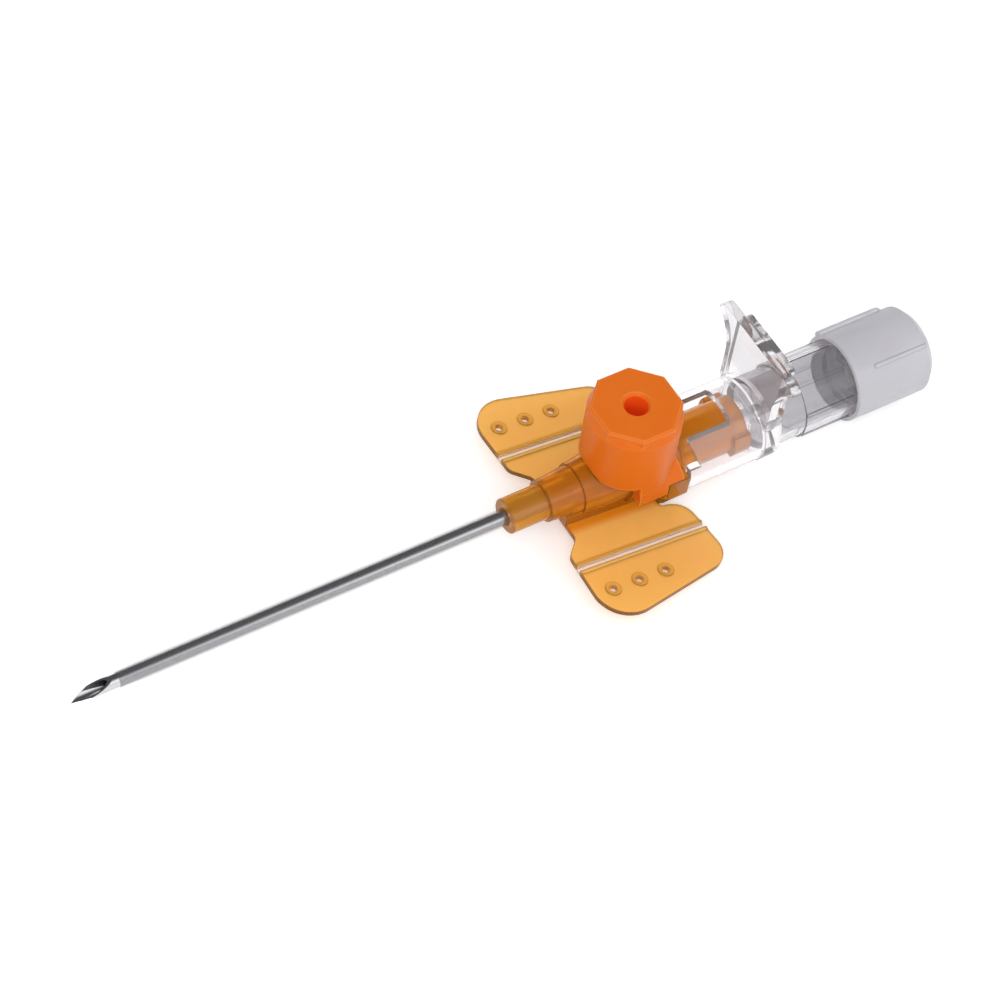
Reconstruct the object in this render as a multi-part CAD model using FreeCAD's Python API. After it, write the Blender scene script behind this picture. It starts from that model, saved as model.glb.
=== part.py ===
import FreeCAD, Part
import math
import os

# Winged intravenous cannula with an injection port, in millimetres.
# Origin: centre of the hub nose's front face, on the needle axis.
# +X runs back towards the flash plug, +Z up through the injection port.

# Catheter tube
tube_length = 50.0
tube_radius = 1.1
tube_wall = 0.2
tip_taper_length = 3.0
tip_wall = 0.07
bell_lead = 0.4
bell_growth = 0.2
bell_end = 8.2

# Steel needle
needle_clearance = 0.05
needle_wall = 0.2
needle_reach = 5.7
bevel_length = 5.0
lancet_angle = 26.0
lancet_turn = 34.0
needle_into_chamber = 1.4

# Ferrule that the belled tube end is pushed over
ferrule_set = 0.3
ferrule_bore = 0.97
ferrule_flange_gap = 0.1
ferrule_flange_length = 1.9
ferrule_bevel = 0.2

# Hub barrel, stepped from the nose to the cap's clip seat
nose_radius = 2.2
nose_end = 4.95
second_start_radius = 2.6
second_end = 9.2
second_end_radius = 2.95
third_start_radius = 3.15
third_end = 12.0
barrel_radius = 3.5
chamber_radius = 1.95
chamber_end = 23.4
nose_bevel = 0.12
moulded_bevel = 0.15

# Injection port
port_x = 16.4
port_radius = 2.9
port_top = 7.6
port_mouth_radius = 2.13
port_floor = 3.1
port_hole_radius = 1.1

# Valve sleeve under the port
valve_gap = 1.7
valve_length = 8.8
valve_wall = 0.65

# Clip seat, lower flange and rear socket of the hub
seat_front = 15.2
seat_radius = 3.9
flange_gap = 0.15
flange_rear = 22.2
flange_radius = 5.8
flange_half_width = 5.5
flange_depth = 5.45
ledge_z = 1.0
socket_radius = 3.35
socket_end = 31.8
socket_mouth_radius = 2.15
luer_slope = 0.03
lug_radius = 3.9
lug_length = 2.3
lug_width = 3.4

# Wings
wing_middle_x = 10.93
wing_middle_z = -3.3
wing_pitch = 6.67
wing_thickness = 0.6
wing_root_front = 7.0
wing_root_rear = 19.4
wing_front = 4.55
wing_waist = 4.95
wing_waist_round = 0.8
wing_shoulder = (4.95, 7.0)
wing_shoulder_round = 1.4
wing_corner_y = 18.1
wing_corner_round = 4.2
wing_rear_corner = (23.3, 14.5)
wing_rear_round = 3.0
wing_heel_corner = (22.45, 5.1)
wing_heel_round = 2.7
wing_root_y = 4.6
wing_root_round = 0.4
groove_y = 9.05
groove_width = 0.5
groove_depth = 0.34
bead_radius = 0.3
hole_y = 13.1
hole_spacing = 3.69
hole_radius = 0.48
rim_radius = 0.95
rim_height = 0.15
root_half_width = 2.8

# Clip that carries the port cap
clip_fit = 0.05
clip_gap = 0.1
clip_radius = 5.5
clip_ring_rear = 19.2
clip_rear_low = 21.5
clip_rear_high = 20.3
clip_half_angle = 96.0
strap_half_width = 2.0
strap_rear = 21.6
strap_top = 5.6
strap_thickness = 1.2
strap_round = 0.3

# Port cap
cap_sides = 8
cap_flats = 10.4
cap_top = 12.0
cap_skirt_radius = 5.7
cap_skirt_low = 2.9
cap_side_low = 1.6
cap_flat_start = 10.5
cap_flat_end = 11.5
cap_hollow_radius = 4.2
cap_roof = 1.28
cap_edge_bevel = 0.25
cap_gap = 0.15
cap_front_gap = 0.3
stub_radius = 1.75
stub_entry = 0.4
recess_radius = 1.45
recess_floor = 0.7
recess_lip = 0.35
hinge_relief_x = 20.8
hinge_relief_z = 6.0

# Clear needle hub
sleeve_radius = 5.42
sleeve_lug_gap = 0.6
sleeve_gap = 0.2
sleeve_side_set = 1.4
sleeve_side_z = 1.7
sleeve_top_set = 0.3
slot_half_width = 2.55
slot_end = 29.0
male_length = 7.5
male_gap = 0.03
socket_end_gap = 1.2
web_thickness = 2.2
web_radius = 5.5
neck_radius = 4.7
neck_length = 4.2
chamber_outer_radius = 4.9
flash_chamber_wall = 1.0
flash_chamber_front = 36.2
flash_chamber_rear = 47.6
flash_body_end = 50.6
flash_body_bevel = 0.35
chamber_rib_count = 8
chamber_rib_width = 0.4
chamber_rib_height = 0.15
chamber_rib_gap = 0.4
rear_socket_radius = 3.1
rear_socket_end = 55.5

# Grip plate on the needle hub
plate_lead = 0.25
plate_thickness = 1.3
plate_half_width = 5.0
plate_foot_z = 3.0
plate_straight_top = 7.5
plate_ear_half_width = 7.7
plate_top = 13.9
plate_ear_round = 1.2
pad_thickness = 1.05
pad_half_width = 4.8
pad_top = 13.6
pad_round = 0.7

# Flash plug with its filter
plug_cover = 8.8
plug_end_gap = 0.8
plug_end_wall = 1.9
plug_gap = 0.15
plug_shell = 0.5
plug_lug_gap = 0.4
plug_step_gap = 0.4
plug_rear_slope = 1.0
plug_rib_height = 0.5
plug_rib_width = 1.2
plug_rib_length = 8.9
plug_rib_turn = -53.0
plug_rib_bevel = 0.2
plug_seam_height = 0.15
plug_seam_width = 0.5
plug_seam_front = 49.6
plug_seam_turn = 37.0
cone_length = 6.3
cone_bore = 0.8
vent_radius = 0.4
filter_radius = 1.3
filter_length = 1.6

# Fits that several pieces share
bond_gap = 0.01
inner_fit = 0.02
overlap = 0.5
past = 1.0

V = FreeCAD.Vector
origin = V(0, 0, 0)
axis_x = V(1, 0, 0)
axis_y = V(0, 1, 0)
axis_z = V(0, 0, 1)
far = 40.0


def rounded_outline(corners):
    """Closed wire in the XY plane through (x, y, radius) corners, each rounded by a tangent arc."""
    stops = []
    for i, (x, y, radius) in enumerate(corners):
        here = V(x, y, 0)
        before = corners[i - 1]
        after = corners[(i + 1) % len(corners)]
        back = (V(before[0], before[1], 0) - here).normalize()
        ahead = (V(after[0], after[1], 0) - here).normalize()
        half = back.getAngle(ahead) / 2
        reach = radius / math.tan(half)
        inward = (back + ahead).normalize() if radius else origin
        middle = here + inward * (radius / math.sin(half) - radius)
        stops.append((here + back * reach, middle, here + ahead * reach, radius))
    edges = []
    for i, (start, middle, end, radius) in enumerate(stops):
        if radius:
            edges.append(Part.Arc(start, middle, end).toShape())
        following = stops[(i + 1) % len(stops)][0]
        edges.append(Part.LineSegment(end, following).toShape())
    return Part.Wire(edges)


def lathe(corners):
    """Solid turned about the needle axis from (x, radius) or (x, radius, bevel) corners."""
    points = []
    for i, corner in enumerate(corners):
        here = V(corner[0], corner[1], 0)
        if len(corner) == 2:
            points.append(here)
            continue
        for beside in (corners[i - 1], corners[(i + 1) % len(corners)]):
            points.append(here + (V(beside[0], beside[1], 0) - here).normalize() * corner[2])
    return Part.Face(Part.makePolygon(points + points[:1])).revolve(origin, axis_x, 360)


def rod(x0, x1, radius, end_radius=None):
    """Round bar or cone along the needle axis."""
    if end_radius is None:
        return Part.makeCylinder(radius, x1 - x0, V(x0, 0, 0), axis_x)
    return Part.makeCone(radius, end_radius, x1 - x0, V(x0, 0, 0), axis_x)


def block(x0, x1, y0, y1, z0, z1):
    return Part.makeBox(x1 - x0, y1 - y0, z1 - z0, V(x0, y0, z0))


def side_profile(points, half_width):
    """Prism across Y from a polygon of (x, z) points."""
    wire = Part.makePolygon([V(x, -half_width, z) for x, z in points + points[:1]])
    return Part.Face(wire).extrude(V(0, 2 * half_width, 0))


def both_sides(shape):
    return [shape, shape.mirror(origin, axis_y)]


def pitched(shape):
    """Carry a flat wing shape, drawn about the middle hole, to its pitched place."""
    shape = shape.copy()
    shape.rotate(origin, axis_y, wing_pitch)
    shape.translate(V(wing_middle_x, 0, wing_middle_z))
    return shape


def wing_z(x):
    """Height of the wings' middle plane."""
    return wing_middle_z - (x - wing_middle_x) * math.tan(math.radians(wing_pitch))


# Sizes that follow from the ones above
tube_bore = tube_radius - tube_wall
needle_radius = tube_bore - needle_clearance
needle_bore = needle_radius - needle_wall
needle_tip = -tube_length - needle_reach
needle_rear = flash_chamber_front + needle_into_chamber
bell_radius = tube_radius + bell_growth
bell_bore = tube_bore + bell_growth
ferrule_front = bell_lead + ferrule_set
ferrule_seat = bell_end + ferrule_flange_gap
ferrule_end = ferrule_seat + ferrule_flange_length
valve_front = ferrule_end + valve_gap
valve_end = valve_front + valve_length
valve_radius = chamber_radius - inner_fit
flange_front = clip_ring_rear + flange_gap
clip_front = seat_front + clip_gap
clip_bore = seat_radius + clip_fit
sleeve_front = flange_rear + sleeve_gap
sleeve_bore = lug_radius + sleeve_lug_gap
web_front = socket_end + socket_end_gap
web_rear = web_front + web_thickness
neck_end = web_rear + neck_length
flash_chamber_radius = chamber_outer_radius - flash_chamber_wall
plug_front = rear_socket_end - plug_cover
plug_wall_front = rear_socket_end + plug_end_gap
plug_rear = plug_wall_front + plug_end_wall
plug_bore = chamber_outer_radius + plug_gap
plug_radius = plug_bore + plug_shell
cone_tip = rear_socket_end - cone_length


def make_catheter_tube():
    outer = lathe([
        (-tube_length, 0),
        (-tube_length, tube_bore + tip_wall),
        (-tube_length + tip_taper_length, tube_radius),
        (0, tube_radius),
        (bell_lead, bell_radius),
        (bell_end, bell_radius),
        (bell_end, 0),
    ])
    bore = rod(-tube_length - past, 0, tube_bore)
    lead = rod(0, bell_lead, tube_bore, bell_bore)
    bell = rod(bell_lead, bell_end + past, bell_bore)
    return outer.cut([bore, lead, bell])


def make_ferrule():
    body = lathe([
        (ferrule_front, 0),
        (ferrule_front, bell_bore - inner_fit),
        (ferrule_seat, bell_bore - inner_fit),
        (ferrule_seat, chamber_radius - inner_fit),
        (ferrule_end, chamber_radius - inner_fit, ferrule_bevel),
        (ferrule_end, 0),
    ])
    return body.cut(rod(ferrule_front - past, ferrule_end + past, ferrule_bore))


def make_needle():
    tube = rod(needle_tip, needle_rear, needle_radius).cut(
        rod(needle_tip - past, needle_rear + past, needle_bore))
    point = V(needle_tip, 0, -needle_radius)
    slope = math.degrees(math.atan2(2 * needle_radius, bevel_length))
    for tilt, turn in ((slope, 0), (lancet_angle, lancet_turn), (lancet_angle, -lancet_turn)):
        grind = Part.makeBox(2 * far, 2 * far, far, V(-far, -far, 0))
        grind.rotate(origin, axis_y, -tilt)
        grind.rotate(origin, axis_x, turn)
        grind.translate(point)
        tube = tube.cut(grind)
    return tube


def hole_steps():
    """Distances of the holes from the middle one, along X."""
    return [step * hole_spacing for step in (-1, 0, 1)]


def make_wing_plate():
    """One wing as a flat plate about the middle hole, its middle plane at z = 0."""
    corners = [
        (wing_root_front, 0, 0),
        (wing_root_front, wing_waist, wing_waist_round),
        (wing_shoulder[0], wing_shoulder[1], wing_shoulder_round),
        (wing_front, wing_corner_y, wing_corner_round),
        (wing_rear_corner[0], wing_rear_corner[1], wing_rear_round),
        (wing_heel_corner[0], wing_heel_corner[1], wing_heel_round),
        (wing_root_rear, wing_root_y, wing_root_round),
        (wing_root_rear, 0, 0),
    ]
    half = wing_thickness / 2
    outline = Part.Face(rounded_outline([(x - wing_middle_x, y, r) for x, y, r in corners]))
    plate = outline.extrude(V(0, 0, wing_thickness))
    plate.translate(V(0, 0, -half))
    envelope = outline.extrude(V(0, 0, 2 * wing_thickness))
    raised = []
    for offset in (-1, 1):
        y = groove_y + offset * (groove_width / 2 + bead_radius)
        bead = Part.makeCylinder(bead_radius, 2 * far, V(-far, y, half - bead_radius / 3), axis_x)
        raised.append(bead.common(envelope))
    for step in hole_steps():
        place = V(step / math.cos(math.radians(wing_pitch)), hole_y, half)
        raised.append(Part.makeCylinder(rim_radius, rim_height, place, axis_z))
    groove = block(-far, far, groove_y - groove_width / 2, groove_y + groove_width / 2,
                   half - groove_depth, far)
    return plate.fuse(raised).cut(groove)


def make_hub():
    barrel = lathe([
        (0, 0),
        (0, nose_radius, nose_bevel),
        (nose_end, nose_radius),
        (nose_end, second_start_radius),
        (second_end, second_end_radius),
        (second_end, third_start_radius),
        (third_end, barrel_radius),
        (seat_front, barrel_radius),
        (seat_front, seat_radius),
        (flange_rear, seat_radius),
        (flange_rear, socket_radius),
        (socket_end, socket_radius, moulded_bevel),
        (socket_end, 0),
    ])
    port = Part.makeCylinder(port_radius, port_top, V(port_x, 0, 0), axis_z)
    flange = rod(flange_front, flange_rear, flange_radius).common(
        block(0, far, -flange_half_width, flange_half_width, -flange_depth, ledge_z))
    root = block(wing_root_front, wing_root_rear, -root_half_width, root_half_width,
                 wing_z(wing_root_rear), -nose_radius / 2)
    lugs = rod(socket_end - lug_length, socket_end, lug_radius).common(
        block(0, far, -far, far, -lug_width / 2, lug_width / 2))
    wings = both_sides(pitched(make_wing_plate()))
    holes = []
    for step in hole_steps():
        place = V(wing_middle_x + step, hole_y, -far / 2)
        holes += both_sides(Part.makeCylinder(hole_radius, far, place, axis_z))
    solid = barrel.fuse([port, flange, root, lugs] + wings)
    floor = Part.makeBox(2 * far, 2 * far, far, V(-far, -far, -far - wing_thickness / 2))
    nose_bore = rod(0, bell_lead, tube_radius + bond_gap, bell_radius + bond_gap)
    bell_seat = rod(bell_lead, bell_end, bell_radius + bond_gap)
    chamber = rod(bell_end, chamber_end, chamber_radius)
    luer = rod(chamber_end - overlap, socket_end + past,
               socket_mouth_radius - luer_slope * (socket_end - chamber_end + overlap),
               socket_mouth_radius + luer_slope * past)
    port_bore = Part.makeCone(port_mouth_radius - luer_slope * (port_top - port_floor),
                              port_mouth_radius, port_top - port_floor,
                              V(port_x, 0, port_floor), axis_z)
    port_hole = Part.makeCylinder(port_hole_radius, port_floor, V(port_x, 0, 0), axis_z)
    return solid.cut([pitched(floor), nose_bore, bell_seat, chamber, luer, port_bore, port_hole] + holes)


def make_valve():
    return rod(valve_front, valve_end, valve_radius).cut(
        rod(valve_front - past, valve_end + past, valve_radius - valve_wall))


def make_clip():
    band = rod(clip_front, clip_rear_low, clip_radius)
    low = ledge_z + clip_fit
    lean = (clip_rear_high - clip_rear_low) / (clip_radius - low)
    below = side_profile([
        (clip_ring_rear, -far),
        (clip_ring_rear, low),
        (clip_rear_low, low),
        (clip_rear_low + lean * (far - low), far),
        (far, far),
        (far, -far),
    ], far)
    strap = block(port_x + port_radius, strap_rear, -strap_half_width, strap_half_width,
                  strap_top - strap_thickness, strap_top)
    strap_end = [e for e in strap.Edges if e.BoundBox.XMin > strap_rear - 0.01]
    strap = strap.makeFillet(strap_round, strap_end)
    half_angle = math.radians(clip_half_angle)
    mouth = Part.makePolygon([
        V(0, 0, 0),
        V(0, far * math.sin(half_angle), far * math.cos(half_angle)),
        V(0, far, -far),
        V(0, -far, -far),
        V(0, -far * math.sin(half_angle), far * math.cos(half_angle)),
        V(0, 0, 0),
    ])
    mouth = Part.Face(mouth).extrude(V(far, 0, 0))
    port_gap = Part.makeCylinder(port_radius + clip_fit, far, V(port_x, 0, 0), axis_z)
    clip = band.cut([below, mouth])
    return clip.fuse(strap).cut([rod(0, far, clip_bore), port_gap])


def make_cap():
    half_side = math.pi / cap_sides
    corner_radius = cap_flats / 2 / math.cos(half_side)
    corners = []
    for k in range(cap_sides):
        turn = (2 * k + 1) * half_side
        corners.append(V(port_x + corner_radius * math.cos(turn), corner_radius * math.sin(turn), 0))
    head = Part.Face(Part.makePolygon(corners + corners[:1])).extrude(V(0, 0, cap_top))
    top_edges = [e for e in head.Edges if e.BoundBox.ZMin > cap_top - 0.01]
    head = head.makeChamfer(cap_edge_bevel, top_edges)
    skirt = Part.makeCylinder(cap_skirt_radius, cap_flat_start - cap_side_low,
                              V(port_x, 0, cap_side_low), axis_z)
    shoulder = Part.makeCone(cap_skirt_radius, cap_flats / 2, cap_flat_end - cap_flat_start,
                             V(port_x, 0, cap_flat_start), axis_z)
    solid = head.fuse([skirt, shoulder])
    ceiling = cap_top - cap_roof
    hollow = Part.makeCylinder(cap_hollow_radius, ceiling, V(port_x, 0, 0), axis_z)
    front_end = clip_front - cap_front_gap
    over_clip = rod(front_end, far, clip_radius + cap_gap)
    over_barrel = rod(0, front_end, barrel_radius + cap_front_gap)
    strap_side = strap_half_width + cap_gap
    over_strap = block(port_x, far, -strap_side, strap_side, 0, strap_top + cap_gap)
    low_front = block(0, front_end, -far, far, -far, cap_skirt_low)
    low_side = block(0, far, -far, far, -far, cap_side_low)
    relief = block(hinge_relief_x, far, -far, far, -far, hinge_relief_z)
    shell = solid.cut([hollow, over_clip, over_strap, over_barrel, low_front, low_side, relief])
    stub_low = port_top - stub_entry
    stub = Part.makeCylinder(stub_radius, ceiling - stub_low + overlap, V(port_x, 0, stub_low), axis_z)
    recess_low = stub_low + recess_floor
    recess = Part.makeCylinder(recess_radius, far, V(port_x, 0, recess_low), axis_z)
    lip = Part.makeCone(recess_radius, recess_radius + recess_lip, recess_lip,
                        V(port_x, 0, cap_top - recess_lip), axis_z)
    return shell.fuse(stub).cut([recess, lip])


def make_grip_plate():
    half = plate_half_width
    ear = plate_ear_half_width
    ear_z = plate_top - plate_ear_round
    out = ear - half
    up = ear_z - plate_straight_top
    sweep = (out * out + up * up) / (2 * out)
    turn = math.asin(up / sweep) / 2
    ease = plate_ear_round * math.cos(math.pi / 4)
    foot = V(0, half, plate_foot_z)
    start = V(0, half, plate_straight_top)
    bend = V(0, half + sweep * (1 - math.cos(turn)), plate_straight_top + sweep * math.sin(turn))
    shoulder = V(0, ear, ear_z)
    corner = V(0, ear - plate_ear_round + ease, ear_z + ease)
    crown = V(0, ear - plate_ear_round, plate_top)

    def other(point):
        return V(0, -point.y, point.z)

    edges = [
        Part.LineSegment(other(foot), foot),
        Part.LineSegment(foot, start),
        Part.Arc(start, bend, shoulder),
        Part.Arc(shoulder, corner, crown),
        Part.LineSegment(crown, other(crown)),
        Part.Arc(other(crown), other(corner), other(shoulder)),
        Part.Arc(other(shoulder), other(bend), other(start)),
        Part.LineSegment(other(start), other(foot)),
    ]
    outline = Part.Wire([edge.toShape() for edge in edges])
    plate = Part.Face(outline).extrude(V(plate_thickness, 0, 0))
    pad = block(0, plate_thickness + pad_thickness, -pad_half_width, pad_half_width, plate_foot_z, pad_top)
    upper_corners = [e for e in pad.Edges
                     if e.BoundBox.XLength > plate_thickness and e.BoundBox.ZMin > plate_straight_top]
    pad = pad.makeFillet(pad_round, upper_corners)
    plate = plate.fuse(pad)
    plate.translate(V(web_front - plate_lead, 0, 0))
    return plate


def make_needle_hub():
    sleeve_top = sleeve_front + sleeve_top_set
    male_tip = socket_end - male_length
    mouth_fit = socket_mouth_radius - male_gap
    sleeve = rod(sleeve_front, web_front + overlap, sleeve_radius).cut(rod(0, web_front, sleeve_bore))
    front_cut = side_profile([
        (0, -far),
        (sleeve_front, -far),
        (sleeve_front, sleeve_side_z),
        (sleeve_front + sleeve_side_set, sleeve_side_z),
        (sleeve_top, sleeve_radius),
        (0, sleeve_radius),
    ], far)
    slot = block(0, slot_end, -slot_half_width, slot_half_width, 0, far)
    sleeve = sleeve.cut([front_cut, slot])
    body = lathe([
        (web_front, 0),
        (web_front, web_radius),
        (web_rear, web_radius, moulded_bevel),
        (web_rear, neck_radius),
        (neck_end, neck_radius),
        (neck_end, chamber_outer_radius),
        (flash_body_end, chamber_outer_radius, flash_body_bevel),
        (flash_body_end, rear_socket_radius),
        (rear_socket_end, rear_socket_radius, moulded_bevel),
        (rear_socket_end, 0),
    ])
    male_nose = rod(male_tip, socket_end, mouth_fit - luer_slope * male_length, mouth_fit)
    collar = rod(socket_end, web_front + overlap, mouth_fit)
    lugs = rod(rear_socket_end - lug_length, rear_socket_end, lug_radius).common(
        block(0, rear_socket_end, -far, far, -lug_width / 2, lug_width / 2))
    ribs = []
    for number in range(chamber_rib_count):
        rib = block(neck_end, plug_front - chamber_rib_gap, -chamber_rib_width / 2, chamber_rib_width / 2,
                    chamber_outer_radius - overlap, chamber_outer_radius + chamber_rib_height)
        rib.rotate(origin, axis_x, (number + 0.5) * 360 / chamber_rib_count)
        ribs.append(rib)
    solid = body.fuse([sleeve, male_nose, collar, lugs, make_grip_plate()] + ribs)
    needle_hole = rod(0, flash_chamber_front + overlap, needle_radius + bond_gap)
    chamber = rod(flash_chamber_front, flash_chamber_rear, flash_chamber_radius)
    rear_bore_front = flash_chamber_rear - overlap
    rear_bore = rod(rear_bore_front, rear_socket_end + past,
                    socket_mouth_radius - luer_slope * (rear_socket_end - rear_bore_front),
                    socket_mouth_radius + luer_slope * past)
    return solid.cut([needle_hole, chamber, rear_bore])


def make_plug():
    shell = lathe([
        (plug_front, 0),
        (plug_front, plug_radius),
        (plug_rear - plug_rear_slope, plug_radius),
        (plug_rear, plug_radius - plug_rear_slope),
        (plug_rear, 0),
    ])
    rib = block(plug_front, plug_front + plug_rib_length, -plug_rib_width / 2, plug_rib_width / 2,
                plug_bore, plug_radius + plug_rib_height)
    crest = [e for e in rib.Edges if e.BoundBox.ZMin > plug_radius + plug_rib_height - 0.01]
    rib = rib.makeChamfer(plug_rib_bevel, crest)
    rib.rotate(origin, axis_x, plug_rib_turn)
    bars = [rib]
    for turn in (plug_seam_turn, plug_seam_turn + 180):
        seam = block(plug_seam_front, plug_rear - plug_rear_slope, -plug_seam_width / 2,
                     plug_seam_width / 2, plug_bore, plug_radius + plug_seam_height)
        seam.rotate(origin, axis_x, turn)
        bars.append(seam)
    shell = shell.fuse(bars).cut([
        rod(plug_front - past, flash_body_end + plug_step_gap, plug_bore),
        rod(plug_front - past, plug_wall_front, lug_radius + plug_lug_gap),
    ])
    mouth_fit = socket_mouth_radius - male_gap
    cone = rod(cone_tip, rear_socket_end, mouth_fit - luer_slope * cone_length, mouth_fit)
    cone_foot = rod(rear_socket_end, plug_wall_front + overlap, mouth_fit)
    pocket = rod(cone_tip - past, cone_tip + filter_length, filter_radius)
    bore = rod(cone_tip, plug_wall_front, cone_bore)
    vent = rod(cone_tip, plug_rear + past, vent_radius)
    return shell.fuse([cone, cone_foot]).cut([pocket, bore, vent])


def make_filter():
    return rod(cone_tip, cone_tip + filter_length, filter_radius - inner_fit)


pieces = {
    "catheter_tube": make_catheter_tube,
    "catheter_ferrule": make_ferrule,
    "catheter_hub": make_hub,
    "port_valve": make_valve,
    "cap_clip": make_clip,
    "port_cap": make_cap,
    "needle": make_needle,
    "needle_hub": make_needle_hub,
    "flash_plug": make_plug,
    "flash_filter": make_filter,
}

os.makedirs("parts", exist_ok=True)
for node, make in pieces.items():
    shape = make().removeSplitter()
    print(node, len(shape.Solids), "solid, valid", shape.isValid(), "volume", round(shape.Volume, 1))
    shape.exportStep("parts/" + node + ".step")
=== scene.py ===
import bpy
from mathutils import Matrix, Vector


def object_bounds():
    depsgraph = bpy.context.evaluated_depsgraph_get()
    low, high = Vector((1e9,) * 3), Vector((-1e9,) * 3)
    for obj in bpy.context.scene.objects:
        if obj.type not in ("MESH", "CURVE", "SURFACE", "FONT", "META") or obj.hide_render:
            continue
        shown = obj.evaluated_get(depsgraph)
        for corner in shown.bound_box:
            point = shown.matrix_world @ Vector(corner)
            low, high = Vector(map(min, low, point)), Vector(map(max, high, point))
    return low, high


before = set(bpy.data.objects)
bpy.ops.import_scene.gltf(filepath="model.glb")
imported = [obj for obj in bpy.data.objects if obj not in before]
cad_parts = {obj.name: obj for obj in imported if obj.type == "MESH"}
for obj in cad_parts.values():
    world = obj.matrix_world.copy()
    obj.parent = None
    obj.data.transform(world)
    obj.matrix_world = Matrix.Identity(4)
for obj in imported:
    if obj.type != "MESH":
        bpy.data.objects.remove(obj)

cad_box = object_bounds()

# Needle
# A ground and polished steel tube with a lancet point. It is glued into the clear needle hub,
# and its point stands out of the soft tube that it carries into the vein.
steel_colour = (0.68, 0.68, 0.70, 1)
steel_roughness = 0.2
steel_roughness_spread = 0.06
steel_grain_scale = (60, 2500, 2500)
steel_grain_depth = 0.000004


def new_material(name):
    """A new material, its nodes, its links and its Principled BSDF."""
    material = bpy.data.materials.new(name)
    material.use_nodes = True
    nodes = material.node_tree.nodes
    links = material.node_tree.links
    return material, nodes, links, nodes["Principled BSDF"]


def add_inputs(group, names_and_values):
    """Give a node group its number inputs with the values they start from."""
    for name, value in names_and_values:
        socket = group.interface.new_socket(name, in_out="INPUT", socket_type="NodeSocketFloat")
        socket.default_value = value


def moulded_skin_group():
    """Softened edges and a faint uneven skin, for anything cast or moulded."""
    group = bpy.data.node_groups.new("moulded_skin", "ShaderNodeTree")
    add_inputs(group, (
        ("Edge Radius", 0.00012),
        ("Grain Scale", 900.0),
        ("Grain Depth", 0.000004),
        ("Roughness", 0.2),
        ("Roughness Spread", 0.05)))
    group.interface.new_socket("Normal", in_out="OUTPUT", socket_type="NodeSocketVector")
    group.interface.new_socket("Roughness", in_out="OUTPUT", socket_type="NodeSocketFloat")
    nodes = group.nodes
    links = group.links
    given = nodes.new("NodeGroupInput")
    result = nodes.new("NodeGroupOutput")
    place = nodes.new("ShaderNodeTexCoord")
    noise = nodes.new("ShaderNodeTexNoise")
    noise.inputs["Detail"].default_value = 4.0
    edge = nodes.new("ShaderNodeBevel")
    edge.samples = 6
    bump = nodes.new("ShaderNodeBump")
    spread = nodes.new("ShaderNodeMath")
    spread.operation = "MULTIPLY_ADD"
    centred = nodes.new("ShaderNodeMath")
    centred.operation = "SUBTRACT"
    centred.inputs[1].default_value = 0.5
    links.new(place.outputs["Object"], noise.inputs["Vector"])
    links.new(given.outputs["Grain Scale"], noise.inputs["Scale"])
    links.new(given.outputs["Edge Radius"], edge.inputs["Radius"])
    links.new(edge.outputs["Normal"], bump.inputs["Normal"])
    links.new(noise.outputs["Fac"], bump.inputs["Height"])
    links.new(given.outputs["Grain Depth"], bump.inputs["Distance"])
    links.new(noise.outputs["Fac"], centred.inputs[0])
    links.new(centred.outputs["Value"], spread.inputs[0])
    links.new(given.outputs["Roughness Spread"], spread.inputs[1])
    links.new(given.outputs["Roughness"], spread.inputs[2])
    links.new(bump.outputs["Normal"], result.inputs["Normal"])
    links.new(spread.outputs["Value"], result.inputs["Roughness"])
    return group


moulded_skin = moulded_skin_group()


def add_skin(nodes, links, shader, radius, scale, depth, roughness, spread):
    """Place the moulded skin in a material with its own values."""
    skin = nodes.new("ShaderNodeGroup")
    skin.node_tree = moulded_skin
    skin.inputs["Edge Radius"].default_value = radius
    skin.inputs["Grain Scale"].default_value = scale
    skin.inputs["Grain Depth"].default_value = depth
    skin.inputs["Roughness"].default_value = roughness
    skin.inputs["Roughness Spread"].default_value = spread
    links.new(skin.outputs["Normal"], shader.inputs["Normal"])
    links.new(skin.outputs["Roughness"], shader.inputs["Roughness"])


def dress(node, material):
    """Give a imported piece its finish."""
    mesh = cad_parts[node].data
    mesh.materials.clear()
    mesh.materials.append(material)


steel, nodes, links, shader = new_material("polished_steel")
shader.inputs["Base Color"].default_value = steel_colour
shader.inputs["Metallic"].default_value = 1.0
place = nodes.new("ShaderNodeTexCoord")
along = nodes.new("ShaderNodeMapping")
along.inputs["Scale"].default_value = steel_grain_scale
noise = nodes.new("ShaderNodeTexNoise")
noise.inputs["Scale"].default_value = 1.0
bump = nodes.new("ShaderNodeBump")
bump.inputs["Distance"].default_value = steel_grain_depth
rough = nodes.new("ShaderNodeMapRange")
rough.inputs["To Min"].default_value = steel_roughness - steel_roughness_spread
rough.inputs["To Max"].default_value = steel_roughness + steel_roughness_spread
links.new(place.outputs["Object"], along.inputs["Vector"])
links.new(along.outputs["Vector"], noise.inputs["Vector"])
links.new(noise.outputs["Fac"], bump.inputs["Height"])
links.new(noise.outputs["Fac"], rough.inputs["Value"])
links.new(bump.outputs["Normal"], shader.inputs["Normal"])
links.new(rough.outputs["Result"], shader.inputs["Roughness"])
dress("needle", steel)

# Catheter tube
# A thin see-through fluoropolymer tube, drawn to a fine wall at its tip, so the steel inside
# shows right through it. Its rear end is belled over the ferrule and held in the hub's nose.
tube_colour = (0.14, 0.14, 0.15, 1)
tube_cover = 0.19
tube_ior = 1.35

clear_tube, nodes, links, shader = new_material("clear_soft_tube")
shader.inputs["Base Color"].default_value = tube_colour
shader.inputs["IOR"].default_value = tube_ior
shader.inputs["Alpha"].default_value = tube_cover
add_skin(nodes, links, shader,
         radius=0.0, scale=1500.0, depth=0.000001, roughness=0.18, spread=0.06)
dress("catheter_tube", clear_tube)

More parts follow.
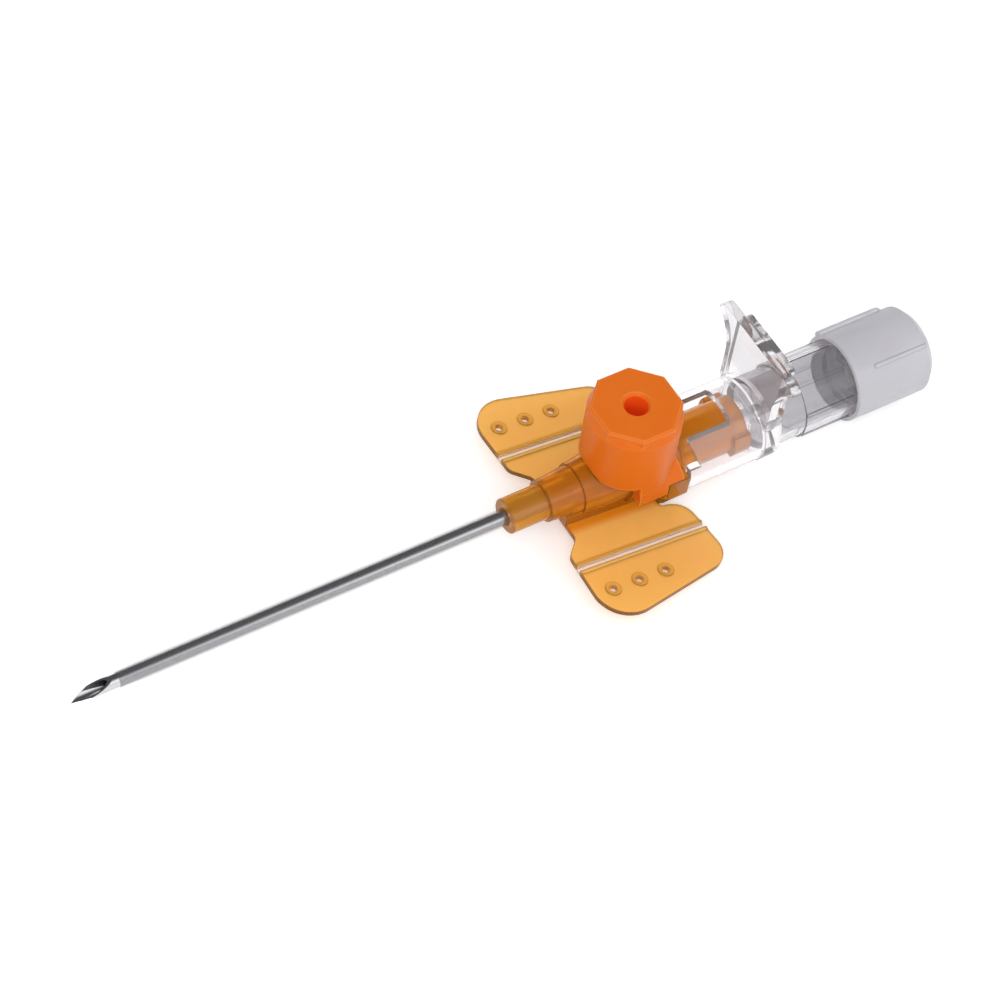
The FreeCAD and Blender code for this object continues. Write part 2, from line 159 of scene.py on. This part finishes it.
# Ferrule
# A small turned bush of plain steel inside the hub's nose, which wedges the belled tube end.
dress("catheter_ferrule", steel)

# Catheter hub
# One amber translucent moulding: stepped nose, barrel, injection port, tapered socket and two
# wings. The wings are thin, so they are paler than the barrel, whose colour also holds painted
# orange light bounced from the cap. A bending groove runs along each wing, painted as a highlight
# line with a line of painted shade on each side. Painted shade darkens the wings' side faces,
# the edges and the holes' rims.
amber_wing = (0.92, 0.52, 0.13, 1)
# Partly the amber's own colour, partly painted orange light bounced from the cap: brighter and redder.
amber_barrel_and_bounce_light = (0.78, 0.27, 0.010, 1)
amber_nose = (0.74, 0.33, 0.030, 1)
amber_socket = (0.88, 0.33, 0.012, 1)
# Painted shade, dark amber, for the edges and the wings' side faces.
amber_edge_shade = (0.24, 0.115, 0.010, 1)
# Painted highlight along the middle of each wing's groove.
amber_groove_highlight = (1.0, 0.90, 0.84, 1)
# Painted shade in a line on each side of the groove.
amber_bead_shade = (0.60, 0.31, 0.030, 1)
# Painted shade round the wings' holes.
amber_rim_shade = (0.74, 0.40, 0.07, 1)
amber_ior = 1.5
amber_clearness = 0.6
amber_shine = 0.2
amber_edge_width = 0.0003
amber_edge_gain = 4.0
nose_end_x = 0.0050
nose_fade = 0.0008
socket_start_x = 0.0232
wing_start_y = 0.0035
wing_full_y = 0.0046
wing_top_z = -0.0019
groove_y = 0.00905
groove_half_width = 0.00028
groove_reach = 0.0012
bead_start = 1.25 * groove_half_width
hole_middle_x = 0.01093
hole_spacing = 0.00369
hole_y = 0.0131
hole_rim_radius = 0.0007
hole_rim_fade = 0.0005
side_face_tilt = 0.5


def edge_mask_group():
    """White along a piece's edges, on both faces that meet there, and black elsewhere."""
    group = bpy.data.node_groups.new("edge_mask", "ShaderNodeTree")
    add_inputs(group, (("Width", 0.0003), ("Gain", 6.0)))
    group.interface.new_socket("Mask", in_out="OUTPUT", socket_type="NodeSocketFloat")
    nodes = group.nodes
    links = group.links
    given = nodes.new("NodeGroupInput")
    result = nodes.new("NodeGroupOutput")
    edge = nodes.new("ShaderNodeBevel")
    edge.samples = 8
    flat = nodes.new("ShaderNodeNewGeometry")
    match = nodes.new("ShaderNodeVectorMath")
    match.operation = "DOT_PRODUCT"
    turned = nodes.new("ShaderNodeMath")
    turned.operation = "SUBTRACT"
    turned.inputs[0].default_value = 1.0
    gain = nodes.new("ShaderNodeMath")
    gain.operation = "MULTIPLY"
    gain.use_clamp = True
    links.new(given.outputs["Width"], edge.inputs["Radius"])
    links.new(edge.outputs["Normal"], match.inputs[0])
    links.new(flat.outputs["Normal"], match.inputs[1])
    links.new(match.outputs["Value"], turned.inputs[1])
    links.new(turned.outputs["Value"], gain.inputs[0])
    links.new(given.outputs["Gain"], gain.inputs[1])
    links.new(gain.outputs["Value"], result.inputs["Mask"])
    return group


edge_mask = edge_mask_group()


def mix_colour(nodes, links, below, above, factor):
    """A colour mix of two colours or colour outputs by a factor output."""
    mix = nodes.new("ShaderNodeMix")
    mix.data_type = "RGBA"
    for name, given in (("A", below), ("B", above)):
        if isinstance(given, tuple):
            mix.inputs[name].default_value = given
        else:
            links.new(given, mix.inputs[name])
    links.new(factor, mix.inputs["Factor"])
    return mix.outputs["Result"]


def add_edge_mask(nodes, width, gain):
    """Place the edge mask in a material with its own values."""
    mask = nodes.new("ShaderNodeGroup")
    mask.node_tree = edge_mask
    mask.inputs["Width"].default_value = width
    mask.inputs["Gain"].default_value = gain
    return mask.outputs["Mask"]


def map_range(nodes, links, value, low, high):
    """A clamped 0 to 1 ramp of a value output between two places."""
    ramp = nodes.new("ShaderNodeMapRange")
    ramp.inputs["From Min"].default_value = low
    ramp.inputs["From Max"].default_value = high
    links.new(value, ramp.inputs["Value"])
    return ramp.outputs["Result"]


def combine(nodes, links, operation, first, second):
    """A Math node on two values or value outputs."""
    math_node = nodes.new("ShaderNodeMath")
    math_node.operation = operation
    for slot, given in ((0, first), (1, second)):
        if isinstance(given, float):
            math_node.inputs[slot].default_value = given
        else:
            links.new(given, math_node.inputs[slot])
    return math_node.outputs["Value"]


def flat_distance(nodes, links, first, second):
    """Length of a flat vector from its two parts."""
    pair = nodes.new("ShaderNodeCombineXYZ")
    length = nodes.new("ShaderNodeVectorMath")
    length.operation = "LENGTH"
    links.new(first, pair.inputs["X"])
    links.new(second, pair.inputs["Y"])
    links.new(pair.outputs["Vector"], length.inputs[0])
    return length.outputs["Value"]


amber, nodes, links, shader = new_material("amber_moulding")
shader.inputs["IOR"].default_value = amber_ior
shader.inputs["Transmission Weight"].default_value = amber_clearness
shader.inputs["Specular IOR Level"].default_value = amber_shine
place = nodes.new("ShaderNodeTexCoord")
split = nodes.new("ShaderNodeSeparateXYZ")
links.new(place.outputs["Object"], split.inputs["Vector"])
side = combine(nodes, links, "ABSOLUTE", split.outputs["Y"], 0.0)
out_of_barrel = map_range(nodes, links, side, wing_start_y, wing_full_y)
below_top = combine(nodes, links, "LESS_THAN", split.outputs["Z"], wing_top_z)
on_wing = combine(nodes, links, "MULTIPLY", out_of_barrel, below_top)
from_groove = combine(nodes, links, "SUBTRACT", side, groove_y)
from_groove = combine(nodes, links, "ABSOLUTE", from_groove, 0.0)
from_groove = map_range(nodes, links, from_groove, 0.0, groove_reach)
# A ramp out from the groove's middle: painted highlight in the middle, painted shade at the beads, then
# fading out.
ramp = nodes.new("ShaderNodeValToRGB")
stops = ramp.color_ramp.elements
stops[0].position = groove_half_width / groove_reach
stops[0].color = amber_groove_highlight
stops[1].position = 1.0
stops[1].color = amber_bead_shade[:3] + (0.0,)
bead = stops.new(bead_start / groove_reach)
bead.color = amber_bead_shade
links.new(from_groove, ramp.inputs["Fac"])
on_groove = combine(nodes, links, "MULTIPLY", ramp.outputs["Alpha"], on_wing)
back_of_nose = map_range(nodes, links, split.outputs["X"],
                         nose_end_x - nose_fade, nose_end_x + nose_fade)
in_socket = map_range(nodes, links, split.outputs["X"], socket_start_x - nose_fade, socket_start_x)
# Colours by zone. The barrel's includes painted bounce light from the cap.
colour = mix_colour(nodes, links, amber_nose, amber_barrel_and_bounce_light, back_of_nose)
colour = mix_colour(nodes, links, colour, amber_socket, in_socket)
colour = mix_colour(nodes, links, colour, amber_wing, on_wing)
from_middle = combine(nodes, links, "SUBTRACT", split.outputs["X"], hole_middle_x)
nearest = combine(nodes, links, "ROUND", combine(nodes, links, "DIVIDE", from_middle, hole_spacing), 0.0)
nearest = combine(nodes, links, "MINIMUM", combine(nodes, links, "MAXIMUM", nearest, -1.0), 1.0)
nearest = combine(nodes, links, "MULTIPLY", nearest, hole_spacing)
from_hole = flat_distance(nodes, links, combine(nodes, links, "SUBTRACT", from_middle, nearest),
                          combine(nodes, links, "SUBTRACT", side, hole_y))
clear_of_hole = map_range(nodes, links, from_hole, hole_rim_radius, hole_rim_radius + hole_rim_fade)
facing = nodes.new("ShaderNodeNewGeometry")
tilt = nodes.new("ShaderNodeSeparateXYZ")
links.new(facing.outputs["Normal"], tilt.inputs["Vector"])
# Painted shade: the wings' upright side faces and every edge of the moulding are darkened.
upright = combine(nodes, links, "ABSOLUTE", tilt.outputs["Z"], 0.0)
upright = combine(nodes, links, "LESS_THAN", upright, side_face_tilt)
edges = combine(nodes, links, "MULTIPLY", upright, on_wing)
edges = combine(nodes, links, "MAXIMUM", edges,
                add_edge_mask(nodes, amber_edge_width, amber_edge_gain))
colour = mix_colour(nodes, links, colour, amber_edge_shade, edges)
# Painted shade: a darker ring round each hole.
colour = mix_colour(nodes, links, amber_rim_shade, colour, clear_of_hole)
# Painted highlight and shade along the grooves.
colour = mix_colour(nodes, links, colour, ramp.outputs["Color"], on_groove)
links.new(colour, shader.inputs["Base Color"])
add_skin(nodes, links, shader,
         radius=0.00012, scale=900.0, depth=0.000004, roughness=0.14, spread=0.06)
dress("catheter_hub", amber)

# Port valve
# A short sleeve of soft silicone inside the barrel, under the port's hole.
silicone_colour = (0.72, 0.66, 0.56, 1)
silicone_scatter = 0.3
silicone_scatter_depth = 0.0005

silicone, nodes, links, shader = new_material("soft_silicone")
shader.inputs["Base Color"].default_value = silicone_colour
shader.inputs["Subsurface Weight"].default_value = silicone_scatter
shader.inputs["Subsurface Scale"].default_value = silicone_scatter_depth
add_skin(nodes, links, shader,
         radius=0.00005, scale=1200.0, depth=0.000004, roughness=0.45, spread=0.1)
dress("port_valve", silicone)

# Clip and port cap
# Both are one opaque orange moulding on the real part, joined by a thin strap that bends.
# The clip snaps round the barrel, and the cap plugs the injection port.
orange_colour = (0.75, 0.145, 0.006, 1)
orange_worn = (0.78, 0.17, 0.010, 1)
# Painted highlight, pale orange, along the edges.
orange_edge_highlight = (1.0, 0.36, 0.075, 1)
# Painted bounce light: the deeper, brighter red of light caught inside the port's recess.
orange_recess_bounce_light = (1.0, 0.14, 0.012, 1)
orange_shine = 0.18
orange_scatter = 0.12
orange_scatter_depth = 0.0006
orange_scatter_tint = (1.0, 0.35, 0.1)
orange_edge_width = 0.0003
orange_edge_gain = 5.0
orange_mottle_scale = 260.0
port_place = (0.0164, 0, 0)
recess_radius = 0.00146
recess_fade = 0.0002
recess_top = 0.0118

orange, nodes, links, shader = new_material("orange_polypropylene")
shader.inputs["Specular IOR Level"].default_value = orange_shine
shader.inputs["Subsurface Weight"].default_value = orange_scatter
shader.inputs["Subsurface Scale"].default_value = orange_scatter_depth
shader.inputs["Subsurface Radius"].default_value = orange_scatter_tint
place = nodes.new("ShaderNodeTexCoord")
mottle = nodes.new("ShaderNodeTexNoise")
mottle.inputs["Scale"].default_value = orange_mottle_scale
links.new(place.outputs["Object"], mottle.inputs["Vector"])
centre = nodes.new("ShaderNodeVectorMath")
centre.operation = "SUBTRACT"
centre.inputs[1].default_value = port_place
links.new(place.outputs["Object"], centre.inputs[0])
split = nodes.new("ShaderNodeSeparateXYZ")
links.new(centre.outputs["Vector"], split.inputs["Vector"])
distance = flat_distance(nodes, links, split.outputs["X"], split.outputs["Y"])
outside = map_range(nodes, links, distance, recess_radius, recess_radius + recess_fade)
above = map_range(nodes, links, split.outputs["Z"], recess_top - recess_fade, recess_top)
in_recess = combine(nodes, links, "SUBTRACT", 1.0, combine(nodes, links, "MAXIMUM", outside, above))
colour = mix_colour(nodes, links, orange_colour, orange_worn, mottle.outputs["Fac"])
# Painted highlight along every edge of the cap and clip.
edges = add_edge_mask(nodes, orange_edge_width, orange_edge_gain)
colour = mix_colour(nodes, links, colour, orange_edge_highlight, edges)
# Painted bounce light inside the port's recess.
colour = mix_colour(nodes, links, colour, orange_recess_bounce_light, in_recess)
links.new(colour, shader.inputs["Base Color"])
add_skin(nodes, links, shader,
         radius=0.00022, scale=1400.0, depth=0.000008, roughness=0.36, spread=0.08)
dress("cap_clip", orange)
dress("port_cap", orange)

# Needle hub
# One clear moulding with a faint lavender cast: slotted front sleeve, tapered nose, grip plate,
# and the chamber in which blood shows first. It lets most of the light through to what is inside.
clear_thin = (0.84, 0.81, 0.81, 1)
# Painted highlight, pinkish white, along the sleeve's edges.
clear_thin_edge_highlight = (0.95, 0.88, 0.87, 1)
clear_neck = (0.84, 0.83, 0.85, 1)
clear_plate = (0.60, 0.595, 0.615, 1)
# Painted shade along the edges of the grip plate and chamber.
clear_plate_edge_shade = (0.20, 0.195, 0.205, 1)
clear_chamber = (0.60, 0.59, 0.61, 1)
clear_ior = 1.3
clear_clearness = 0.91
clear_cover = 0.25
clear_edge_width = 0.00022
clear_edge_gain = 3.0
thin_end_x = 0.0306
plate_start_x = 0.0322
plate_end_x = 0.0352
chamber_start_x = 0.0362
neck_top_z = 0.0046
plate_foot_z = 0.0056

clear_hub, nodes, links, shader = new_material("clear_moulding")
shader.inputs["IOR"].default_value = clear_ior
shader.inputs["Transmission Weight"].default_value = clear_clearness
place = nodes.new("ShaderNodeTexCoord")
split = nodes.new("ShaderNodeSeparateXYZ")
links.new(place.outputs["Object"], split.inputs["Vector"])
past_sleeve = map_range(nodes, links, split.outputs["X"], thin_end_x, plate_start_x)
past_plate = map_range(nodes, links, split.outputs["X"], plate_end_x, chamber_start_x)
edges = add_edge_mask(nodes, clear_edge_width, clear_edge_gain)
over_neck = map_range(nodes, links, split.outputs["Z"], neck_top_z, plate_foot_z)
colour = mix_colour(nodes, links, clear_neck, clear_plate, over_neck)
colour = mix_colour(nodes, links, clear_thin, colour, past_sleeve)
colour = mix_colour(nodes, links, colour, clear_chamber, past_plate)
# Painted edge light: highlight on the thin sleeve, shade from the grip plate back.
painted_edge_colour = mix_colour(nodes, links, clear_thin_edge_highlight, clear_plate_edge_shade, past_sleeve)
colour = mix_colour(nodes, links, colour, painted_edge_colour, edges)
links.new(colour, shader.inputs["Base Color"])
path = nodes.new("ShaderNodeLightPath")
passing = combine(nodes, links, "MAXIMUM",
                  path.outputs["Is Shadow Ray"], path.outputs["Is Diffuse Ray"])
passing = combine(nodes, links, "MULTIPLY", passing, 1.0 - clear_cover)
links.new(combine(nodes, links, "SUBTRACT", 1.0, passing), shader.inputs["Alpha"])
add_skin(nodes, links, shader,
         radius=0.0, scale=700.0, depth=0.000004, roughness=0.06, spread=0.04)
dress("needle_hub", clear_hub)

# Flash plug
# A milky translucent screw-on plug with one raised rib and two mould seams.
plug_colour = (0.79, 0.785, 0.83, 1)
# Painted shade along the plug's edges.
plug_edge_shade = (0.62, 0.615, 0.65, 1)
plug_clearness = 0.45
plug_scatter = 0.3
plug_scatter_depth = 0.001
plug_edge_width = 0.0003
plug_edge_gain = 2.0

milky, nodes, links, shader = new_material("milky_moulding")
shader.inputs["Transmission Weight"].default_value = plug_clearness
shader.inputs["Subsurface Weight"].default_value = plug_scatter
shader.inputs["Subsurface Scale"].default_value = plug_scatter_depth
# Painted shade: every edge of the plug is darkened.
edges = add_edge_mask(nodes, plug_edge_width, plug_edge_gain)
colour = mix_colour(nodes, links, plug_colour, plug_edge_shade, edges)
links.new(colour, shader.inputs["Base Color"])
add_skin(nodes, links, shader,
         radius=0.0002, scale=800.0, depth=0.000006, roughness=0.38, spread=0.08)
dress("flash_plug", milky)

# Flash filter
# A porous disc in the plug's cone, which lets air out and holds blood back.
porous_colour = (0.85, 0.84, 0.80, 1)

porous, nodes, links, shader = new_material("porous_disc")
shader.inputs["Base Color"].default_value = porous_colour
add_skin(nodes, links, shader,
         radius=0.00002, scale=6000.0, depth=0.00003, roughness=0.8, spread=0.1)
dress("flash_filter", porous)

# Table
# A plain white table top. It shows white to the camera, to glass and to metal, and keeps the shadow.
table_size = 3.0
table_gap = 0.0001
table_colour = (0.9, 0.9, 0.9, 1)
table_roughness = 0.9
white = (1, 1, 1, 1)
table_glow = 0.35
table_glow_in_metal = 0.2
table_glow_in_glass = 0.7

bpy.ops.mesh.primitive_plane_add(size=table_size, location=(0, 0, cad_box[0][2] - table_gap))
table = bpy.context.object
table.name = "table_top"
table_white, nodes, links, shader = new_material("white_table")
shader.inputs["Base Color"].default_value = table_colour
shader.inputs["Roughness"].default_value = table_roughness
shader.inputs["Emission Color"].default_value = white
path = nodes.new("ShaderNodeLightPath")
to_camera = combine(nodes, links, "MULTIPLY", path.outputs["Is Camera Ray"], table_glow)
to_metal = combine(nodes, links, "MULTIPLY", path.outputs["Is Glossy Ray"], table_glow_in_metal)
to_glass = combine(nodes, links, "MULTIPLY", path.outputs["Is Transmission Ray"], table_glow_in_glass)
glow = combine(nodes, links, "ADD", to_camera, combine(nodes, links, "ADD", to_metal, to_glass))
links.new(glow, shader.inputs["Emission Strength"])
table.data.materials.append(table_white)

# Light
# Even light from all round, as in a light tent, with two soft lamps over the near side. Metal and
# gloss see a room that is pale on the near side and dark above and beyond the table, and gloss
# inside clear pieces sees a plain grey one.
tent_strength = 0.72
room_near = (1.0, 1.0, 1.0, 1)
room_far = (0.085, 0.085, 0.09, 1)
room_in_glass = (0.50, 0.50, 0.52, 1)
room_turn_near = -0.62
room_turn_far = -0.12
tent_colour = (tent_strength, tent_strength, tent_strength, 1)
key_place = (-0.30, -0.35, 0.60)
key_size = 0.5
key_power = 1.8
fill_place = (0.35, -0.50, 0.35)
fill_size = 0.4
fill_power = 0.6

room = bpy.data.worlds.new("pale_room")
bpy.context.scene.world = room
room.use_nodes = True
nodes = room.node_tree.nodes
links = room.node_tree.links
background = nodes["Background"]
place = nodes.new("ShaderNodeTexCoord")
split = nodes.new("ShaderNodeSeparateXYZ")
links.new(place.outputs["Generated"], split.inputs["Vector"])
beyond = map_range(nodes, links, split.outputs["Y"], room_turn_near, room_turn_far)
walls = mix_colour(nodes, links, room_near, room_far, beyond)
path = nodes.new("ShaderNodeLightPath")
in_glass = combine(nodes, links, "GREATER_THAN", path.outputs["Transmission Depth"], 0.5)
walls = mix_colour(nodes, links, walls, room_in_glass, in_glass)
shown = combine(nodes, links, "MAXIMUM",
                path.outputs["Is Camera Ray"], path.outputs["Is Transmission Ray"])
seen = mix_colour(nodes, links, tent_colour, walls, path.outputs["Is Glossy Ray"])
seen = mix_colour(nodes, links, seen, white, shown)
links.new(seen, background.inputs["Color"])


def add_softbox(name, place, size, power):
    """A square soft lamp that faces the cannula."""
    data = bpy.data.lights.new(name, "AREA")
    data.shape = "SQUARE"
    data.size = size
    data.energy = power
    lamp = bpy.data.objects.new(name, data)
    bpy.context.collection.objects.link(lamp)
    lamp.location = place
    lamp.rotation_euler = (-Vector(place)).to_track_quat("-Z", "Y").to_euler()


add_softbox("key_softbox", key_place, key_size, key_power)
add_softbox("fill_softbox", fill_place, fill_size, fill_power)

# Camera
# It stands over the needle's left side, looking down on the cannula along its length.
lens_mm = 115.19
sensor_mm = 36.0
nearest_seen = 0.01
camera_place = (-0.137301, -0.174387, 0.298944)
to_right = Vector((0.857199, -0.505797, 0.096848))
to_top = Vector((0.358821, 0.7215, 0.592187))

data = bpy.data.cameras.new("photo_camera")
data.lens = lens_mm
data.sensor_width = sensor_mm
data.clip_start = nearest_seen
camera = bpy.data.objects.new("photo_camera", data)
bpy.context.collection.objects.link(camera)
turn = Matrix((to_right, to_top, to_right.cross(to_top))).transposed()
camera.matrix_world = Matrix.Translation(camera_place) @ turn.to_4x4()
bpy.context.scene.camera = camera

bpy.context.scene.view_settings.view_transform = "Standard"
